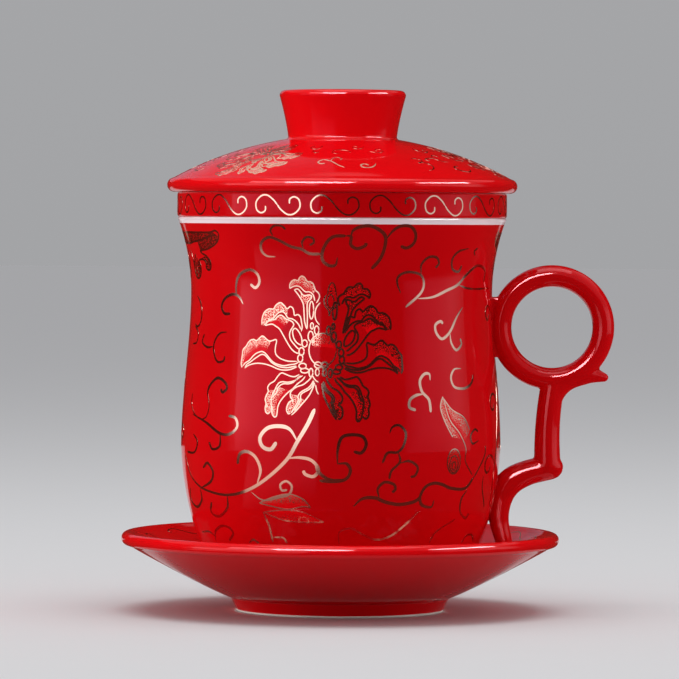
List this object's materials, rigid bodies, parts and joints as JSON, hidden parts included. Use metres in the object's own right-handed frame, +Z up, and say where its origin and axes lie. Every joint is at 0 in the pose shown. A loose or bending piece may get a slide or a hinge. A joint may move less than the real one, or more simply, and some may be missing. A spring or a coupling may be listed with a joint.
{
  "type": "lidded tea mug with infuser",
  "caption": "Waisted porcelain tea mug with ring handle, lift-out strainer cup, domed lid with a flared hollow knob, and a footed saucer.",
  "frame": {"origin": "centre of the saucer's foot ring, in the plane it stands on", "axes": "+Z up along the axis of the mug, lid and saucer; +X from that axis towards the handle; +Y away from the viewer, with the handle on the right"},
  "size_m": [0.1325, 0.118, 0.1401],
  "materials": {
    "red_glaze": "gloss",
    "white_glaze": "gloss",
    "bare_porcelain": "matt"
  },
  "bodies": {
    "saucer": {"saucer_dish": "red_glaze", "saucer_foot_ring": "red_glaze"},
    "mug": {"mug_body": "red_glaze", "mug_lip": "white_glaze", "mug_foot_ring": "bare_porcelain", "handle_loop": "red_glaze", "handle_stem": "red_glaze", "handle_spur": "red_glaze"},
    "infuser": {"infuser_collar": "red_glaze", "infuser_cup": "white_glaze", "strainer_base": "white_glaze"},
    "lid": {"lid_dome": "red_glaze", "lid_flange": "white_glaze", "lid_knob": "red_glaze"}
  },
  "joints": [
    {"name": "mug_lift", "type": "slide", "parent": "saucer", "child": "mug", "axis": [0, 0, 1], "range_m": [0, 0.04]},
    {"name": "infuser_lift", "type": "slide", "parent": "mug", "child": "infuser", "axis": [0, 0, 1], "range_m": [0, 0.09]},
    {"name": "lid_lift", "type": "slide", "parent": "infuser", "child": "lid", "axis": [0, 0, 1], "range_m": [0, 0.06]}
  ]
}
